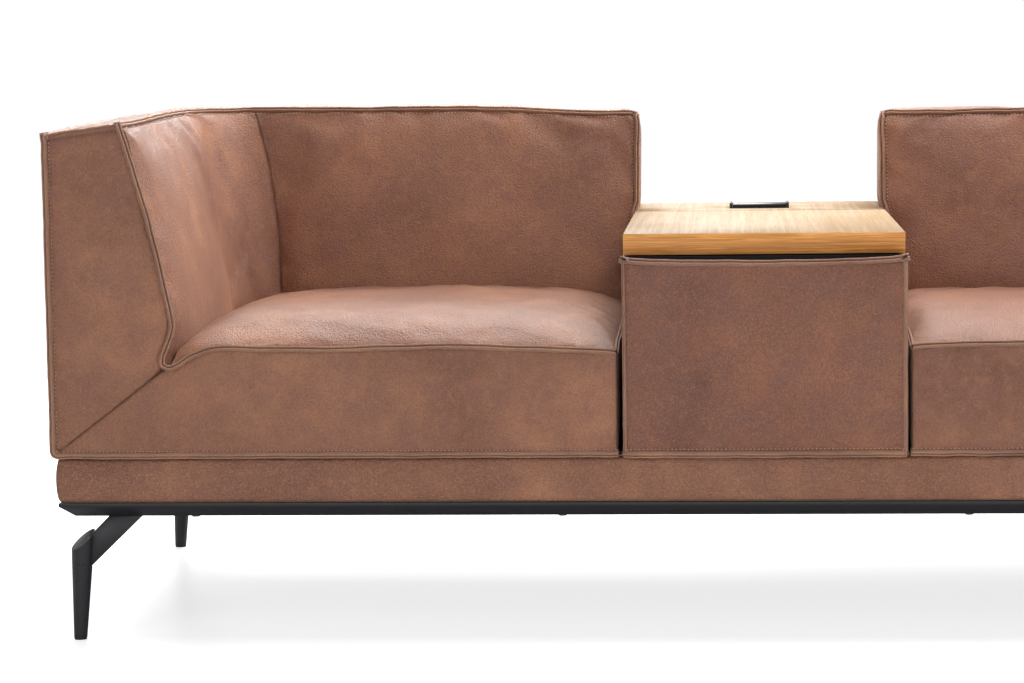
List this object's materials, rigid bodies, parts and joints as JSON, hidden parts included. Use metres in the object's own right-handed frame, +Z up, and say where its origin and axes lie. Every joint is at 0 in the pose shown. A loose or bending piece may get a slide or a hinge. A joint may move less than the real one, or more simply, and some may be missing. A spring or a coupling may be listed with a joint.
{
  "type": "two-seater sofa",
  "caption": "Leather sofa with seats either side of a storage console, an oak lid that hinges up, a cable flap, and a black steel base on slim legs.",
  "frame": {"origin": "on the floor, under the middle of the sofa's outline", "axes": "+Z up, +X to the right along the width for someone facing the front, the front faces -Y"},
  "size_m": [2.12, 0.92, 0.777],
  "materials": {
    "black_steel": "fine-textured matt black powder coat",
    "glide_plastic": "matt black polyamide",
    "screw_steel": "zinc-plated steel",
    "frame_timber": "planed spruce and beech, unfinished",
    "dust_cloth": "black non-woven cloth",
    "webbing": "dark elastic webbing",
    "foam": "polyurethane foam",
    "brown_leather": "mid-brown soft buffed leather with a fine grain",
    "black_board": "black melamine-faced board",
    "oak": "light oiled oak veneer",
    "buffer_rubber": "black rubber",
    "black_plastic": "satin black moulded plastic"
  },
  "bodies": {
    "sofa": {"frame_bar_front": "black_steel", "frame_bar_rear": "black_steel", "frame_bar_left": "black_steel", "frame_bar_right": "black_steel", "leg_front_left": "black_steel", "leg_front_right": "black_steel", "leg_rear_left": "black_steel", "leg_rear_right": "black_steel", "leg_struts": "black_steel", "foot_glides": "glide_plastic", "frame_screws": "screw_steel", "hinge_leaf_fixed": "screw_steel", "hinge_pin": "screw_steel", "base_rail_front": "frame_timber", "base_rail_rear": "frame_timber", "base_cross_rails": "frame_timber", "seat_front_rail_left": "frame_timber", "seat_front_rail_right": "frame_timber", "arm_board_left": "frame_timber", "arm_board_right": "frame_timber", "back_board_left": "frame_timber", "back_board_right": "frame_timber", "dust_cloth": "dust_cloth", "seat_webbing": "webbing", "seat_foam_left": "foam", "seat_foam_right": "foam", "plinth_cover_front_left": "brown_leather", "plinth_cover_front_right": "brown_leather", "plinth_cover_left": "brown_leather", "plinth_cover_right": "brown_leather", "plinth_cover_rear": "brown_leather", "seat_cushion_left": "brown_leather", "seat_cushion_right": "brown_leather", "seat_front_panel_left": "brown_leather", "seat_front_panel_right": "brown_leather", "arm_pad_left": "brown_leather", "arm_pad_right": "brown_leather", "arm_front_panel_left": "brown_leather", "arm_front_panel_right": "brown_leather", "arm_outer_cover_left": "brown_leather", "arm_outer_cover_right": "brown_leather", "back_pad_left": "brown_leather", "back_pad_right": "brown_leather", "back_rear_cover_left": "brown_leather", "back_rear_cover_right": "brown_leather", "console_cover_front": "brown_leather", "console_cover_rear": "brown_leather", "console_cover_left": "brown_leather", "console_cover_right": "brown_leather", "console_floor": "black_board", "console_end_boards": "black_board", "console_board_left": "black_board", "console_board_right": "black_board", "console_top_rear": "oak", "lid_buffers": "buffer_rubber", "cable_port_frame": "black_plastic"},
    "lid": {"console_lid": "oak", "hinge_leaf_moving": "screw_steel"},
    "flap": {"cable_flap": "black_plastic"}
  },
  "joints": [
    {"name": "lid_hinge", "type": "hinge", "parent": "sofa", "child": "lid", "pos_m": [0, 0.155, 0.6024], "axis": [-1, 0, 0], "range_deg": [0, 95]},
    {"name": "flap_hinge", "type": "hinge", "parent": "sofa", "child": "flap", "pos_m": [0, 0.2839, 0.6096], "axis": [-1, 0, 0], "range_deg": [0, 100]}
  ]
}
